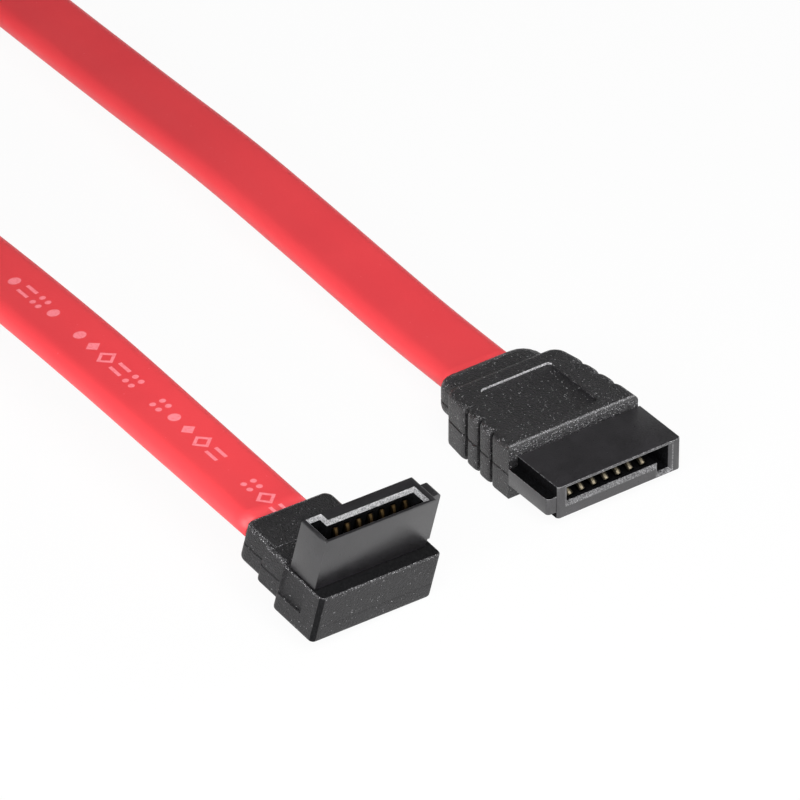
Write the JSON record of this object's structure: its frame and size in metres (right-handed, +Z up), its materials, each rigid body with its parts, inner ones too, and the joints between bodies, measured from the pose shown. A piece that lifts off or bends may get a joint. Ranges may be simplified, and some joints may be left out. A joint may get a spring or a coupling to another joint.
{
  "type": "sata data cable",
  "caption": "Flat red data cable for a disk drive with a straight black plug on one end and an angled black plug on the other, folded back on itself.",
  "frame": {"origin": "bottom centre of the straight plug's box, on the surface that the cable lies on", "axes": "+X out of the straight plug's mouth, +Z up, both plugs' contact rows lie along Y or close to it"},
  "size_m": [0.2444, 0.0541, 0.0119],
  "materials": {
    "black_grip": "finely grained black moulded plastic with bright specks along its edges",
    "black_housing": "smooth satin black moulded plastic",
    "gold_contact": "thin gold plating on stamped springs",
    "white_core": "white wire insulation",
    "tinned_wire": "tinned copper wire",
    "red_jacket": "satin red cable jacket with small pale printed marks on one side",
    "black_tie": "black woven strap"
  },
  "bodies": {
    "root": {"straight_overmould": "black_grip", "straight_housing": "black_housing", "straight_contact_1": "gold_contact", "straight_contact_2": "gold_contact", "straight_contact_3": "gold_contact", "straight_contact_4": "gold_contact", "straight_contact_5": "gold_contact", "straight_contact_6": "gold_contact", "straight_contact_7": "gold_contact", "straight_core_1": "white_core", "straight_core_2": "white_core", "straight_core_3": "white_core", "straight_core_4": "white_core", "straight_drain_1": "tinned_wire", "straight_drain_2": "tinned_wire", "straight_drain_3": "tinned_wire", "straight_drain_4": "tinned_wire", "angled_overmould": "black_grip", "angled_housing": "black_housing", "angled_contact_1": "gold_contact", "angled_contact_2": "gold_contact", "angled_contact_3": "gold_contact", "angled_contact_4": "gold_contact", "angled_contact_5": "gold_contact", "angled_contact_6": "gold_contact", "angled_contact_7": "gold_contact", "angled_core_1": "white_core", "angled_core_2": "white_core", "angled_core_3": "white_core", "angled_core_4": "white_core", "angled_drain_1": "tinned_wire", "angled_drain_2": "tinned_wire", "angled_drain_3": "tinned_wire", "angled_drain_4": "tinned_wire", "cable_jacket": "red_jacket", "hank_tie": "black_tie"}
  },
  "joints": []
}
